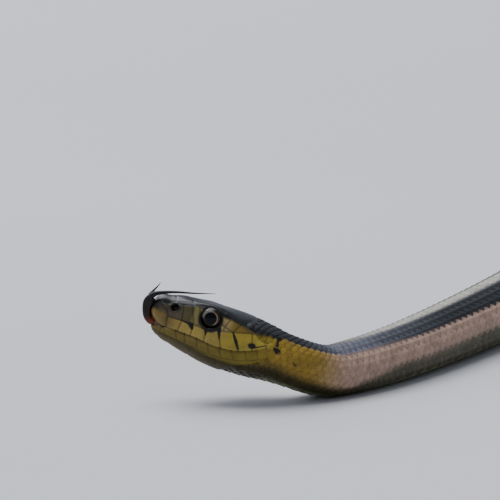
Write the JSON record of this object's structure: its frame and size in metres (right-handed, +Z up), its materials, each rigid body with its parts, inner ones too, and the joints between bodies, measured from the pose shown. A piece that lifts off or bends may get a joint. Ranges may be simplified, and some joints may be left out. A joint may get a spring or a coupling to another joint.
{
  "type": "common garter snake model",
  "caption": "Life-size still model of a slender striped snake, head raised and forked tongue out, lying in loose bends on its belly.",
  "frame": {"origin": "on the ground, under the middle of the bounding box", "axes": "+Z up; the snout points to -X and the tail ends towards +X; the snake's left side faces -Y at the head"},
  "size_m": [0.3556, 0.1198, 0.0185],
  "materials": {
    "crown_skin": "wet, smooth head shields, olive black above and tan to golden yellow along the upper lip",
    "chin_skin": "wet, smooth chin shields, cream to dull yellow",
    "body_skin": "moist keeled scales, slate black with a cream stripe along the back, orange side stripes and a pale belly",
    "eye": "high gloss, black pupil in a thin gold ring and a brown iris",
    "tongue": "moist, red at the base and black towards the fork"
  },
  "bodies": {
    "root": {"head": "crown_skin", "lower_jaw": "chin_skin", "eye_left": "eye", "eye_right": "eye", "tongue": "tongue", "neck": "body_skin", "torso_1": "body_skin", "torso_2": "body_skin", "torso_3": "body_skin", "torso_4": "body_skin", "torso_5": "body_skin", "torso_6": "body_skin", "torso_7": "body_skin", "torso_8": "body_skin", "torso_9": "body_skin", "tail_1": "body_skin", "tail_2": "body_skin", "tail_3": "body_skin"}
  },
  "joints": []
}
